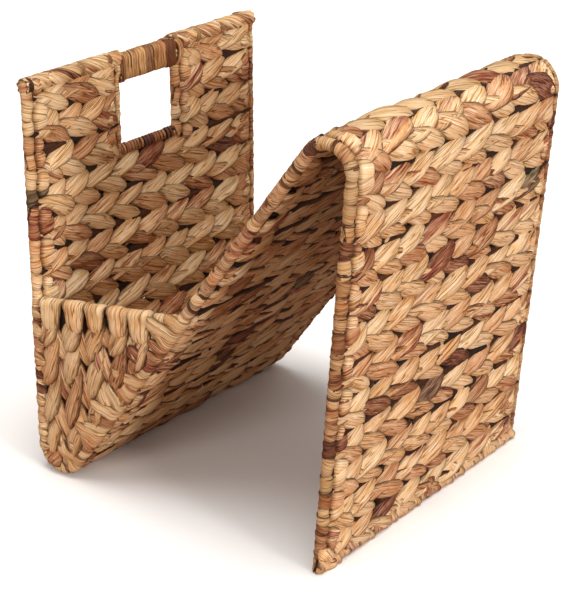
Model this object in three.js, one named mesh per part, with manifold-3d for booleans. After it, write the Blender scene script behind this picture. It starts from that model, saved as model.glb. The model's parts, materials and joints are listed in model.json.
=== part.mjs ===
// Magazine basket: rows of twined plant stalks on a bent steel frame.
// Seen from the side it is an N: an upright back, a pocket bend on the floor, a sloping panel,
// a fold at the top and a leg that leans in to its foot. Both ends of the pocket are closed.
// Millimetres. X runs from the back to the leg, Y across the width, Z up from the floor.
// The origin is the middle of the base. "Near" is the -Y side and "far" is the +Y side.

import * as THREE from 'three';
import { mergeVertices } from 'three/addons/utils/BufferGeometryUtils.js';
import Module from 'manifold-3d';

const wasm = await Module();
wasm.setup();

// The side shape of the frame, measured to rod centres
const frameWidth = 340;
const backHeight = 404;
const pocketBendRadius = 23;
const foldBendRadius = 24.5;
const foldReachLength = 355;
const foldHeight = 426;
const footReachLength = 348;
const restCutDepth = 0.5;

// The rods
const sideRodRadius = 3;
const crossRodRadius = 2.5;
const stakeRadius = 1.8;
const outerStakeSpacing = 217;
const rodSideCount = 6;
const stakeSideCount = 4;
const bendStepAngle = 24;

// The weave
const bandCount = 39;
const bandThickness = 18;
const bandSpineThickness = 13.5;
const bandLipThickness = 9;
const edgeWrapRadius = 6;
const edgeTaperLength = 12;
const edgeTaperStepCount = 1;
const endWrapRadius = 7;
const closedLipShare = 0.75;
const straightBandStepCount = 4;
const bentBandStepCount = 8;

// The hand hole, cut out of the top bands of the back
const holeWidth = 83;
const holeBandCount = 3;
const sillWrapRadius = 6;
const handleHeight = 28;
const handleThickness = 19;
const handleWrapThickness = 2;
const handleCornerRadius = 7;
const cornerStepCount = 3;

// The pocket's ends
const nearRimBackHeight = 184;
const nearRimSlopeHeight = 210;
const farRimBackHeight = 168;
const farRimSlopeHeight = 194;
const gussetThickness = 13;
const gussetSeamThickness = 9;
const gussetColumnWidth = 17.5;
const rimCoverHeight = 6;

// Fits
const fitClearance = 0.3;
const cutOverrun = 5;

const finishes = {
  straw: { color: 0xc99a5b, roughness: 0.85, metalness: 0 },
  tan: { color: 0xb98549, roughness: 0.85, metalness: 0 },
  shade: { color: 0x8d5f38, roughness: 0.85, metalness: 0 },
  twine: { color: 0x8a5232, roughness: 0.9, metalness: 0 },
  raffia: { color: 0xa06f3c, roughness: 0.8, metalness: 0 },
  steel: { color: 0x4a4642, roughness: 0.5, metalness: 0.9 },
};

const bandHalf = bandThickness / 2;
const halfWidth = frameWidth / 2;
const wrapReach = halfWidth + edgeWrapRadius;
const uprightOffset = holeWidth / 2 + edgeWrapRadius;
const holeEdge = holeWidth / 2;

// The side path, in the XZ plane: straight runs and round bends joined end to end

const pocketCentre = new THREE.Vector2(pocketBendRadius, pocketBendRadius + bandHalf - restCutDepth);
const foldCentre = new THREE.Vector2(foldReachLength, foldHeight - bandHalf - foldBendRadius);
const foot = new THREE.Vector2(footReachLength, endWrapRadius - restCutDepth);

function slopeAngle() {
  const between = foldCentre.clone().sub(pocketCentre);
  return between.angle() + Math.asin((pocketBendRadius + foldBendRadius) / between.length());
}

function legAngle() {
  const drop = foot.clone().sub(foldCentre);
  return drop.angle() - Math.asin(foldBendRadius / drop.length());
}

function lineRun(from, to) {
  const direction = to.clone().sub(from);
  const length = direction.length();
  direction.normalize();
  return {
    length,
    bends: 0,
    point: (along) => from.clone().addScaledVector(direction, along),
    tangent: () => direction.clone(),
  };
}

function arcRun(centre, radius, startAngle, sweep) {
  const turn = Math.sign(sweep);
  const angleAt = (along) => startAngle + turn * along / radius;
  return {
    length: radius * Math.abs(sweep),
    bends: Math.ceil(Math.abs(sweep) / THREE.MathUtils.degToRad(bendStepAngle)),
    point: (along) => centre.clone().add(polar(angleAt(along), radius)),
    tangent: (along) => polar(angleAt(along) + turn * Math.PI / 2, 1),
  };
}

function polar(angle, radius) {
  return new THREE.Vector2(Math.cos(angle), Math.sin(angle)).multiplyScalar(radius);
}

function sideRuns() {
  const slope = slopeAngle();
  const leg = legAngle();
  const pocketSweep = Math.PI / 2 + slope;
  const foldSweep = leg - slope - 2 * Math.PI;
  const backFoot = new THREE.Vector2(pocketCentre.x - pocketBendRadius, pocketCentre.y);
  const backTop = new THREE.Vector2(backFoot.x, backHeight);
  const slopeFoot = pocketCentre.clone().add(polar(slope - Math.PI / 2, pocketBendRadius));
  const slopeTop = foldCentre.clone().add(polar(slope + Math.PI / 2, foldBendRadius));
  const legTop = foldCentre.clone().add(polar(leg + Math.PI / 2, foldBendRadius));
  return [
    lineRun(backTop, backFoot),
    arcRun(pocketCentre, pocketBendRadius, Math.PI, pocketSweep),
    lineRun(slopeFoot, slopeTop),
    arcRun(foldCentre, foldBendRadius, slope + Math.PI / 2, foldSweep),
    lineRun(legTop, foot),
  ];
}

const runs = sideRuns();
const pocketRun = 1;
const slopeRun = 2;
const runStarts = runs.map((run, i) => runs.slice(0, i).reduce((sum, r) => sum + r.length, 0));
const pathLength = runs.reduce((sum, run) => sum + run.length, 0);

// Places on the path are lengths along it from the top of the back; it runs on past both its ends
function placeAt(along) {
  let index = runs.length - 1;
  while (index > 0 && along < runStarts[index]) index -= 1;
  const inside = along - runStarts[index];
  const tangent = runs[index].tangent(inside);
  return { point: runs[index].point(inside), tangent, side: new THREE.Vector2(-tangent.y, tangent.x) };
}

function offsetPoint(along, off) {
  const place = placeAt(along);
  return place.point.addScaledVector(place.side, off);
}

// Stations of a tube: the ends of each straight run and even steps round each bend
function tubeStations(start, end) {
  const places = [start, end];
  runs.forEach((run, i) => {
    const steps = Math.max(run.bends, 1);
    for (let step = 0; step <= steps; step += 1) {
      places.push(runStarts[i] + run.length * step / steps);
    }
  });
  const kept = places.filter((along) => along >= start && along <= end).sort((a, b) => a - b);
  return kept.filter((along, i) => i === 0 || along - kept[i - 1] > fitClearance);
}

// A three.js curve that stops at chosen stations, so that straight runs need no steps
class StationCurve extends THREE.Curve {
  constructor(points, tangents) {
    super();
    this.points = points;
    this.tangents = tangents;
  }

  index(share) {
    return Math.round(share * (this.points.length - 1));
  }

  getPointAt(share, target = new THREE.Vector3()) {
    return target.copy(this.points[this.index(share)]);
  }

  getTangentAt(share, target = new THREE.Vector3()) {
    return target.copy(this.tangents[this.index(share)]);
  }
}

function roundSection(radius, sides) {
  const section = new THREE.Shape();
  for (let i = 0; i < sides; i += 1) {
    const corner = polar((i + 0.5) * 2 * Math.PI / sides, radius);
    if (i === 0) section.moveTo(corner.x, corner.y);
    else section.lineTo(corner.x, corner.y);
  }
  section.closePath();
  return section;
}

function tube(points, tangents, radius, sides) {
  const curve = new StationCurve(points, tangents);
  const steps = points.length - 1;
  return solid(new THREE.ExtrudeGeometry(roundSection(radius, sides), { steps, extrudePath: curve }));
}

function straightTube(from, to, radius, sides = rodSideCount) {
  const direction = to.clone().sub(from).normalize();
  return tube([from, to], [direction, direction], radius, sides);
}

function pathTube(start, end, y, radius, sides) {
  const places = tubeStations(start, end).map(placeAt);
  const points = places.map(({ point }) => new THREE.Vector3(point.x, y, point.y));
  const tangents = places.map(({ tangent }) => new THREE.Vector3(tangent.x, 0, tangent.y));
  return tube(points, tangents, radius, sides);
}

// Joins and cuts

function solid(geometry) {
  const bare = geometry.clone();
  bare.deleteAttribute('normal');
  bare.deleteAttribute('uv');
  const merged = mergeVertices(bare);
  return new wasm.Manifold(new wasm.Mesh({
    numProp: 3,
    vertProperties: new Float32Array(merged.attributes.position.array),
    triVerts: new Uint32Array(merged.index.array),
  }));
}

function geometryOf(body) {
  const mesh = body.getMesh();
  const geometry = new THREE.BufferGeometry();
  geometry.setAttribute('position', new THREE.BufferAttribute(mesh.vertProperties, 3));
  geometry.setIndex(new THREE.BufferAttribute(mesh.triVerts, 1));
  geometry.computeVertexNormals();
  return geometry;
}

function cutAll(body, tools) {
  return tools.reduce((left, tool) => left.subtract(tool), body);
}

// An outline in the XZ plane, made solid from one Y to another
function acrossWidth(shape, fromY, toY, taper) {
  const depth = toY - fromY - 2 * taper.length;
  const geometry = new THREE.ExtrudeGeometry(shape, {
    depth,
    bevelEnabled: taper.length > 0,
    bevelThickness: taper.length,
    bevelSize: taper.size,
    bevelOffset: -taper.size,
    bevelSegments: edgeTaperStepCount,
  });
  geometry.rotateX(Math.PI / 2);
  geometry.translate(0, toY - taper.length, 0);
  return solid(geometry);
}

const bandTaper = { length: edgeTaperLength, size: bandHalf - edgeWrapRadius };
const noTaper = { length: 0, size: 0 };

// The frame: two bent side rods, the rods that cross between them, and the inner stakes

const bandPitch = (pathLength + 2 * endWrapRadius) / bandCount;
const sillAlong = holeBandCount * bandPitch - endWrapRadius - sillWrapRadius;
const stakeOffsets = {
  near_outer: -outerStakeSpacing / 2,
  near_upright: -uprightOffset,
  middle: 0,
  far_upright: uprightOffset,
  far_outer: outerStakeSpacing / 2,
};

function sideRod(side, extra = 0) {
  const past = crossRodRadius + extra;
  return pathTube(-past, pathLength + past, side * halfWidth, sideRodRadius + extra, rodSideCount);
}

function crossRod(along, reach, extra = 0) {
  const { point } = placeAt(along);
  const from = new THREE.Vector3(point.x, -reach, point.y);
  const to = new THREE.Vector3(point.x, reach, point.y);
  return straightTube(from, to, crossRodRadius + extra);
}

function stake(name, extra = 0) {
  const start = name === 'middle' ? sillAlong : 0;
  return pathTube(start, pathLength, stakeOffsets[name], stakeRadius + extra, stakeSideCount);
}

const rims = {
  near: { side: -1, back: nearRimBackHeight, slope: nearRimSlopeHeight },
  far: { side: 1, back: farRimBackHeight, slope: farRimSlopeHeight },
};

// Where the sloping side rod passes a given height
function slopeXAt(height) {
  const { point, tangent } = placeAt(runStarts[slopeRun]);
  return point.x + (height - point.y) * tangent.x / tangent.y;
}

function rimRod({ side, back, slope }, extra = 0) {
  const from = new THREE.Vector3(0, side * halfWidth, back);
  const to = new THREE.Vector3(slopeXAt(slope), side * halfWidth, slope);
  return straightTube(from, to, crossRodRadius + extra);
}

const sides = { near: -1, far: 1 };
const sideCutters = Object.values(sides).map((side) => sideRod(side, fitClearance));
const stakeCutters = Object.keys(stakeOffsets).map((name) => stake(name, fitClearance));
const uprightCutters = ['near_upright', 'far_upright'].map((name) => stake(name, fitClearance));
const topCutter = crossRod(0, halfWidth, fitClearance);
const footCutter = crossRod(pathLength, halfWidth, fitClearance);
const sillCutter = crossRod(sillAlong, uprightOffset, fitClearance);
const middleCutter = stake('middle', fitClearance);
const rimCutters = Object.values(rims).map((rim) => rimRod(rim, fitClearance));

// A band is one pair of twined rows, so it swells twice and dips at the spine between them.
// The first and last bands close round the top rod and the foot rod.
const spineShare = 0.5;
const crestShare = 0.25;

function swell(share, closedStart, closedEnd) {
  const edge = Math.min(share, 1 - share);
  const closed = share < spineShare ? closedStart : closedEnd;
  if (edge === 0) return closed ? endWrapRadius * closedLipShare : bandLipThickness / 2;
  const dip = (1 + Math.cos(Math.PI * edge / crestShare)) / 2;
  const valley = edge < crestShare ? bandLipThickness : bandSpineThickness;
  return bandHalf + (valley / 2 - bandHalf) * dip;
}

function isBent(start, end) {
  return runs.some((run, i) => run.bends > 0 && end > runStarts[i] && start < runStarts[i] + run.length);
}

function bandShape(start, end, closedStart, closedEnd) {
  const steps = isBent(start, end) ? bentBandStepCount : straightBandStepCount;
  const outer = [];
  const inner = [];
  for (let i = 0; i <= steps; i += 1) {
    const along = start + (end - start) * i / steps;
    const half = swell(i / steps, closedStart, closedEnd);
    outer.push(offsetPoint(along, half));
    inner.unshift(offsetPoint(along, -half));
  }
  return new THREE.Shape([...outer, ...inner]);
}

const floorCut = new THREE.BoxGeometry(2 * foldReachLength, 2 * frameWidth, 2 * bandThickness);
floorCut.translate(foldReachLength / 2, 0, -bandThickness);
const floorBlock = solid(floorCut);

function band(index, fromY, toY) {
  const start = index * bandPitch - endWrapRadius;
  const shape = bandShape(start, start + bandPitch - fitClearance, index === 0, index === bandCount - 1);
  const body = acrossWidth(shape, fromY, toY, bandTaper);
  const crossCutters = [topCutter, footCutter, sillCutter];
  return cutAll(body, [...sideCutters, ...stakeCutters, ...crossCutters, ...rimCutters, floorBlock]);
}

// The end of the pocket: upright columns looped over the rim rod, cut to the space between
// the back and the sloping panel

function ribbedSlab(side, fromX, toX, height) {
  const columns = Math.round((toX - fromX) / gussetColumnWidth);
  const step = (toX - fromX) / columns;
  const face = [];
  for (let i = 0; i <= columns; i += 1) {
    face.push(new THREE.Vector2(fromX + i * step, gussetSeamThickness / 2));
    if (i < columns) face.push(new THREE.Vector2(fromX + (i + 0.5) * step, gussetThickness / 2));
  }
  const inner = face.map((p) => new THREE.Vector2(p.x, -p.y)).reverse();
  const slab = new THREE.ExtrudeGeometry(new THREE.Shape([...face, ...inner]), {
    depth: height,
    bevelEnabled: false,
  });
  slab.translate(0, side * halfWidth, 0);
  return solid(slab);
}

function gussetShape(rim) {
  const gap = bandHalf + fitClearance;
  const slope = placeAt(runStarts[slopeRun]);
  const inward = (height) => slopeXAt(height) - gap / slope.tangent.y;
  const topBack = rim.back + rimCoverHeight;
  const topSlope = rim.slope + rimCoverHeight;
  const points = [new THREE.Vector2(gap, topBack), new THREE.Vector2(gap, pocketCentre.y)];
  const bendRadius = pocketBendRadius - gap;
  const sweep = Math.PI / 2 + slopeAngle();
  const steps = runs[pocketRun].bends;
  for (let i = 1; i <= steps; i += 1) {
    points.push(pocketCentre.clone().add(polar(Math.PI + sweep * i / steps, bendRadius)));
  }
  points.push(new THREE.Vector2(inward(topSlope), topSlope));
  return new THREE.Shape(points);
}

function gusset(rim) {
  const shape = gussetShape(rim);
  const outline = shape.getPoints();
  const top = Math.max(...outline.map((p) => p.y));
  const right = Math.max(...outline.map((p) => p.x));
  const left = Math.min(...outline.map((p) => p.x));
  const centre = rim.side * halfWidth;
  const plate = acrossWidth(shape, centre - gussetThickness, centre + gussetThickness, noTaper);
  const slab = ribbedSlab(rim.side, left, right, top + cutOverrun);
  return plate.intersect(slab).subtract(rimRod(rim, fitClearance));
}

// The hand hole: its sill and the padded handle under the top rod

function roundedBlock(width, height, corner) {
  const x = width / 2 - corner;
  const y = height / 2 - corner;
  const centres = [[x, y], [-x, y], [-x, -y], [x, -y]];
  const points = [];
  centres.forEach(([centreX, centreY], quarter) => {
    const centre = new THREE.Vector2(centreX, centreY);
    for (let i = 0; i <= cornerStepCount; i += 1) {
      const angle = (quarter + i / cornerStepCount) * Math.PI / 2;
      points.push(polar(angle, corner).add(centre));
    }
  });
  return new THREE.Shape(points);
}

function handleBlock(shrink) {
  const reach = holeEdge - fitClearance;
  const width = handleThickness - 2 * shrink;
  const height = handleHeight - 2 * shrink;
  const section = roundedBlock(width, height, handleCornerRadius - shrink);
  const block = acrossWidth(section, -reach, reach, noTaper);
  return block.translate([0, 0, backHeight + endWrapRadius - handleHeight / 2]);
}

function handleWrap() {
  const hollow = handleBlock(handleWrapThickness);
  const longer = hollow.scale([1, 1 + cutOverrun / holeWidth, 1]);
  return handleBlock(0).subtract(longer);
}

function handleBar() {
  return handleBlock(handleWrapThickness + fitClearance).subtract(topCutter);
}

function sillWrap() {
  const { point } = placeAt(sillAlong);
  const reach = holeEdge - fitClearance;
  const from = new THREE.Vector3(point.x, -reach, point.y);
  const to = new THREE.Vector3(point.x, reach, point.y);
  return cutAll(straightTube(from, to, sillWrapRadius - fitClearance), [sillCutter, middleCutter]);
}

// The assembly

const basket = new THREE.Group();

function addPart(name, body, finish) {
  const mesh = new THREE.Mesh(geometryOf(body), new THREE.MeshStandardMaterial(finish));
  mesh.name = name;
  basket.add(mesh);
}

// The outer bands are pale, and those on the sloping panel, which climb, are in its shade
function bandFinish(index) {
  const { tangent } = placeAt((index + spineShare) * bandPitch);
  return tangent.y > 0 ? finishes.shade : finishes.straw;
}

function addRods() {
  for (const [name, side] of Object.entries(sides)) {
    addPart(`${name}_side_rod`, sideRod(side), finishes.steel);
    addPart(`${name}_rim_rod`, cutAll(rimRod(rims[name]), sideCutters), finishes.steel);
  }
  addPart('top_rod', cutAll(crossRod(0, halfWidth), sideCutters), finishes.steel);
  addPart('foot_rod', cutAll(crossRod(pathLength, halfWidth), sideCutters), finishes.steel);
  addPart('sill_rod', cutAll(crossRod(sillAlong, uprightOffset), uprightCutters), finishes.steel);
  for (const name of Object.keys(stakeOffsets)) {
    const startCutter = name === 'middle' ? sillCutter : topCutter;
    addPart(`${name}_stake`, cutAll(stake(name), [startCutter, footCutter]), finishes.steel);
  }
}

function addBands() {
  for (let index = 0; index < bandCount; index += 1) {
    const name = `weave_band_${String(index + 1).padStart(2, '0')}`;
    if (index < holeBandCount) {
      addPart(`${name}_near`, band(index, -wrapReach, -holeEdge), finishes.tan);
      addPart(`${name}_far`, band(index, holeEdge, wrapReach), finishes.tan);
    } else {
      addPart(name, band(index, -wrapReach, wrapReach), bandFinish(index));
    }
  }
}

addRods();
addBands();
for (const [name, rim] of Object.entries(rims)) {
  addPart(`${name}_gusset`, gusset(rim), finishes.tan);
}
addPart('handle_bar', handleBar(), finishes.shade);
addPart('handle_wrap', handleWrap(), finishes.raffia);
addPart('sill_wrap', sillWrap(), finishes.twine);

// The origin lies under the middle of the whole basket
const reach = new THREE.Box3().setFromObject(basket);
basket.position.x = -(reach.min.x + reach.max.x) / 2;

export default basket;
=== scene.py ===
"""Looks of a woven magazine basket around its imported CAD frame.

The weave, wraps and windings are grown by Geometry Nodes over the frame's own sizes, in metres.
"""

import json
import math
import random

import bpy
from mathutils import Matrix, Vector

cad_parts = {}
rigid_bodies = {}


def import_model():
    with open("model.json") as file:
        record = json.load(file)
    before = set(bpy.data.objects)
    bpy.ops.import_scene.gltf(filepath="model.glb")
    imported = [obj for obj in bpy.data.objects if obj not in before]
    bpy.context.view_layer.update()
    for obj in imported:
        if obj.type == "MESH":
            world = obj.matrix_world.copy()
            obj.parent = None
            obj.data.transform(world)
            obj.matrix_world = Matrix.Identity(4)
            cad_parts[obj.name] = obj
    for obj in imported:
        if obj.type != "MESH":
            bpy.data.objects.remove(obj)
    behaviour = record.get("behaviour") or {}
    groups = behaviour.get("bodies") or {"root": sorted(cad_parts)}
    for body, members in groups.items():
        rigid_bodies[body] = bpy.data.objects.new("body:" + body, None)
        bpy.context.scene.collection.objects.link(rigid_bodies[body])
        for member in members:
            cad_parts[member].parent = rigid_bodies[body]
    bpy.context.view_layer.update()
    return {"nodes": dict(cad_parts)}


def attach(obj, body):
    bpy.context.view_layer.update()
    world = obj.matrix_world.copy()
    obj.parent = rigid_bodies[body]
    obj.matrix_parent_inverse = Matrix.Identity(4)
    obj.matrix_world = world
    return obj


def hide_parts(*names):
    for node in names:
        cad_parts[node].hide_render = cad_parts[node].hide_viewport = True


bl_info = {
    "name": "Woven magazine basket",
    "version": (1, 0, 0),
    "blender": (4, 5, 0),
    "location": "View3D > Sidebar > Basket",
    "description": "Weaves the stalks of a magazine basket over its rod frame",
    "category": "Add Mesh",
}

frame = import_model()

MM = 0.001
# Sizes are in mm, unless the line says otherwise
BACK_X = -189.26  # place of the upright back's middle
SIDE_Y = 170.0  # side rods, from the middle of the width
PATH_LEAD = 250.0  # how far every guide runs before its zero
PATH_STEP = 2.0  # space between two points of the N-shaped guide
GUIDE_REACH = 500.0  # how far a straight guide runs past its zero
POCKET = (23.0, 31.5, 23.0)  # bends along the path: x from the back, z, radius
FOLD = (355.0, 392.5, 24.5)
FOOT = (348.0, 6.5)
BACK_TOP = 404.0
BAND_COUNT = 39
END_OVERHANG = 7.0
HOLE_HALF = 41.5
UPRIGHT_HALF = 47.5
HOLE_BANDS = 3
FLOOR_GAP = 0.2  # stalks under the basket are pressed flat on the floor
ROW_END = 163.0  # rows run from here to here across the width
SILL_Z = 310.8
HANDLE_Z = 397.0
RIM_NEAR = (184.0, 210.0)  # heights of a pocket end's rim at the back and at the slope
RIM_FAR = (168.0, 194.0)
COLUMN_PITCH = 17.5
HANDLE_HALF = HOLE_HALF + 2
TOP_ROW_DROP = 3.5  # the first row lies lower, under the top rod's windings
TOP_ROW_SIZE = 0.85
RIM_INSET = 8  # columns stop this far before a rim's end
TIE_REACH = 6.2  # how far the near edge's ties stand off the rod's middle
WRAP_PITCH = 20  # width taken by a wrap of size 1
ROUND_ROD = 16.0  # about how long a wrap's way round its rod is
TOP_STALKS = 7  # windings side by side round the top rod
BUNDLE_STALKS = 9
LEAF_LEAD = 0.32  # a leaf's thin start, as a share of the space between two leaves
LEAF_REACH = 1.27  # where a leaf ends, as a share of the same space
LEAF_OVERRUN = 4  # how far a leaf may pass its row's end
LEAF_ROOM = 6  # a row's last leaf starts at least this far before the row's end
SHORTEST_LEAF = 12
SLAB_ACROSS = 0.7  # powers that turn a stalk's round section into a rounded slab
SLAB_UP = 0.55
AHEAD = 0.002  # step along a strand that gives its direction
FIBRE_DEPTH = 0.004  # m, how far apart the fibres of a stalk's two faces are in the streaks' noise
GROOVE_PLACE = 0.0035  # m past the rod
GROOVE_NARROWNESS = 420.0
# Painted shade in the groove beside the rod
GROOVE_PAINTED_SHADE = 550.0
STRIP_NARROWNESS = 400.0  # for the strip beside the rod whose painted shade differs from wrap to wrap
TONES_PER_METRE = 25.0  # how often an inner stalk's tone changes
TIP_DROP = 0.004  # m, how far a wrap's tips dive into the weave
NOISE_SPREAD = 7.31  # keeps two strands apart in the drift's noise
KEY_STEP = 97.0  # keeps the tone keys of wraps, windings and inner stalks apart


# Path of the N

def turn_angles():
    """Angles of the slope and of the leg's way down, in radians"""
    across = FOLD[0] - POCKET[0]
    up = FOLD[1] - POCKET[1]
    reach = math.hypot(across, up)
    slope = math.atan2(up, across) + math.asin((POCKET[2] + FOLD[2]) / reach)
    down = (FOOT[0] - FOLD[0], FOOT[1] - FOLD[1])
    leg = math.atan2(down[1], down[0]) % math.tau - math.asin(FOLD[2] / math.hypot(*down))
    return slope, leg


SLOPE, LEG = turn_angles()


def arc(bend, first, sweep):
    """Points of a bend, its first left out"""
    count = max(2, round(abs(sweep) * bend[2] / PATH_STEP))
    angles = [first + sweep * i / count for i in range(1, count + 1)]
    return [(bend[0] + bend[2] * math.cos(a), bend[1] + bend[2] * math.sin(a)) for a in angles]


def straight(points, end):
    """Points of a straight run on from the last one"""
    start = points[-1]
    count = max(1, round(math.dist(start, end) / PATH_STEP))
    return [(start[0] + (end[0] - start[0]) * i / count, start[1] + (end[1] - start[1]) * i / count)
            for i in range(1, count + 1)]


def path_points():
    """Points along the N, from above the back's top to past the foot, in mm from the back"""
    points = [(0.0, BACK_TOP + PATH_LEAD)]
    points += straight(points, (0.0, POCKET[1]))
    points += arc(POCKET, math.pi, math.pi / 2 + SLOPE)
    fold_start = (FOLD[0] + FOLD[2] * math.cos(SLOPE + math.pi / 2),
                  FOLD[1] + FOLD[2] * math.sin(SLOPE + math.pi / 2))
    points += straight(points, fold_start)
    points += arc(FOLD, SLOPE + math.pi / 2, LEG - SLOPE - math.tau)
    points += straight(points, FOOT)
    last = (FOOT[0] + PATH_LEAD * math.cos(LEG), FOOT[1] + PATH_LEAD * math.sin(LEG))
    points += straight(points, last)
    return points


PATH_POINTS = path_points()
PATH = sum(math.dist(a, b) for a, b in zip(PATH_POINTS, PATH_POINTS[1:])) - 2 * PATH_LEAD
BAND_PITCH = (PATH + 2 * END_OVERHANG) / BAND_COUNT
ROW_PITCH = BAND_PITCH / 2
SLOPE_START = (POCKET[0] + POCKET[2] * math.sin(SLOPE), POCKET[1] - POCKET[2] * math.cos(SLOPE))
SLOPE_RUN = BACK_TOP - POCKET[1] + POCKET[2] * (math.pi / 2 + SLOPE)  # path from its zero to the slope


def path_run_at(height):
    """Length along the path where the slope reaches a height, mm"""
    return SLOPE_RUN + (height - SLOPE_START[1]) / math.sin(SLOPE)


FOLD_RUN = path_run_at(FOLD[1])
RIM_RUN = path_run_at(RIM_NEAR[1])


def slope_x(height):
    """How far from the back the slope's middle is at a height, mm"""
    return SLOPE_START[0] + (height - SLOPE_START[1]) / math.tan(SLOPE)


def floor_line(x):
    """Height of the N's middle at a place between the back and the slope, mm"""
    if x < SLOPE_START[0]:
        return POCKET[1] - math.sqrt(max(0.0, POCKET[2] ** 2 - (x - POCKET[0]) ** 2))
    return SLOPE_START[1] + (x - SLOPE_START[0]) * math.tan(SLOPE)


def once(store, name, make, *values):
    """A named piece of data, made on its first use"""
    return store.get(name) or make(name, *values)


def guide_curve(name, points):
    """A curve object through the points, in metres, for the node trees to follow"""
    data = bpy.data.curves.new(name, "CURVE")
    data.dimensions = "3D"
    spline = data.splines.new("POLY")
    spline.points.add(len(points) - 1)
    for spot, point in zip(spline.points, points):
        spot.co = (*point, 1.0)
    guide = bpy.data.objects.new(name, data)
    bpy.context.collection.objects.link(guide)
    return guide


def n_guide():
    """The N-shaped guide"""
    points = [((BACK_X + x) * MM, 0.0, z * MM) for x, z in PATH_POINTS]
    return once(bpy.data.objects, "n_guide", guide_curve, points)


def straight_guide(name, start, direction):
    """A straight guide whose zero is at start, in mm"""
    heading = Vector(direction).normalized()
    first = Vector(start) - heading * PATH_LEAD
    last = Vector(start) + heading * GUIDE_REACH
    return once(bpy.data.objects, name, guide_curve, [tuple(first * MM), tuple(last * MM)])


# Node building

class Field:
    """What a node puts out, ready for plain arithmetic"""

    def __init__(self, maker, socket):
        self.maker = maker
        self.socket = socket

    def apply(self, operation, first, second):
        if self.socket.type == "VECTOR":
            return self.maker.vector(operation, first, second)
        return self.maker.math(operation, first, second)

    def __add__(self, other):
        return self.apply("ADD", self, other)

    def __radd__(self, other):
        return self.apply("ADD", other, self)

    def __sub__(self, other):
        return self.apply("SUBTRACT", self, other)

    def __rsub__(self, other):
        return self.apply("SUBTRACT", other, self)

    def __mul__(self, other):
        return self.apply("MULTIPLY", self, other)

    def __rmul__(self, other):
        return self.apply("MULTIPLY", other, self)

    def __truediv__(self, other):
        return self.apply("DIVIDE", self, other)


class Maker:
    """Adds nodes to one tree and joins them"""

    def __init__(self, tree):
        self.tree = tree

    def put(self, socket, value):
        """Links a field to the socket, or sets the socket's own value"""
        if isinstance(value, Field):
            self.tree.links.new(value.socket, socket)
        elif isinstance(value, bpy.types.NodeSocket):
            self.tree.links.new(value, socket)
        elif value is not None:
            socket.default_value = value

    def node(self, kind, *values, **settings):
        """A new node with its settings and inputs"""
        made = self.tree.nodes.new(kind)
        for name, value in settings.items():
            setattr(made, name, value)
        sockets = [s for s in made.inputs if s.enabled]
        for socket, value in zip(sockets, values):
            self.put(socket, value)
        return made

    def fed(self, kind, inputs, **settings):
        """A new node with its settings, and its inputs by name"""
        made = self.node(kind, **settings)
        for label, value in inputs.items():
            self.put(made.inputs[label], value)
        return made

    def field(self, kind, *values, **settings):
        """A new node's first output"""
        made = self.node(kind, *values, **settings)
        return Field(self, [s for s in made.outputs if s.enabled][0])

    def math(self, operation, *values):
        return self.field("ShaderNodeMath", *values, operation=operation)

    def vector(self, operation, *values):
        return self.field("ShaderNodeVectorMath", *values, operation=operation)

    def join(self, x, y, z):
        return self.field("ShaderNodeCombineXYZ", x, y, z)

    def split(self, vector):
        made = self.node("ShaderNodeSeparateXYZ", vector)
        return [Field(self, s) for s in made.outputs]

    def scale(self, vector, factor):
        return self.vector("SCALE", vector, factor)

    def clamp(self, value, low, high):
        return self.math("MINIMUM", self.math("MAXIMUM", value, low), high)

    def swell(self, t):
        """0 at both ends of a strand and 1 in its middle"""
        return self.math("SINE", t * math.pi)

    def unit(self, vector):
        return self.vector("NORMALIZE", vector)

    def cross(self, first, second):
        return self.vector("CROSS_PRODUCT", first, second)

    def named(self, name):
        """A number kept on each strand"""
        return self.field("GeometryNodeInputNamedAttribute", name, data_type="FLOAT")

    def chance(self, low, high, key, seed):
        """A random number that stays the same for one key; each use has a seed of its own"""
        return self.field("FunctionNodeRandomValue", low, high, key, seed, data_type="FLOAT")

    def drift(self, place, key, scale, seed):
        """A smooth random number near 0 that changes along the strand"""
        where = self.join(place, key * NOISE_SPREAD, float(seed))
        made = self.fed("ShaderNodeTexNoise", {"Vector": where, "Scale": scale, "Detail": 1.0},
                        noise_dimensions="3D")
        return Field(self, made.outputs[0]) - 0.5

    def keep(self, geometry, name, value, kind="FLOAT"):
        """Keeps a value on the geometry's points"""
        made = self.fed("GeometryNodeStoreNamedAttribute", {"Geometry": geometry, "Name": name},
                        data_type=kind, domain="POINT")
        self.put([s for s in made.inputs if s.enabled][-1], value)
        return made.outputs[0]


SOCKETS = {
    "geometry": "NodeSocketGeometry", "object": "NodeSocketObject", "material": "NodeSocketMaterial",
    "number": "NodeSocketFloat", "length": "NodeSocketFloat", "vector": "NodeSocketVector",
    "count": "NodeSocketInt", "colour": "NodeSocketColor",
}


def new_tree(name, kind, inputs, outputs):
    """A node tree with named sockets; returns it with a maker and its inputs"""
    tree = bpy.data.node_groups.new(name, kind)
    for label, sort, *default in inputs:
        socket = tree.interface.new_socket(name=label, in_out="INPUT", socket_type=SOCKETS[sort])
        if sort == "length":
            socket.subtype = "DISTANCE"
        if default:
            socket.default_value = default[0]
    for label, sort in outputs:
        tree.interface.new_socket(name=label, in_out="OUTPUT", socket_type=SOCKETS[sort])
    maker = Maker(tree)
    entry = tree.nodes.new("NodeGroupInput")
    fields = {label: Field(maker, entry.outputs[label]) for label, *_ in inputs}
    return tree, maker, fields


def finish_tree(maker, *values):
    """Joins the values to the tree's outputs"""
    end = maker.tree.nodes.new("NodeGroupOutput")
    for socket, value in zip(end.inputs, values):
        maker.put(socket, value)


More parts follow.
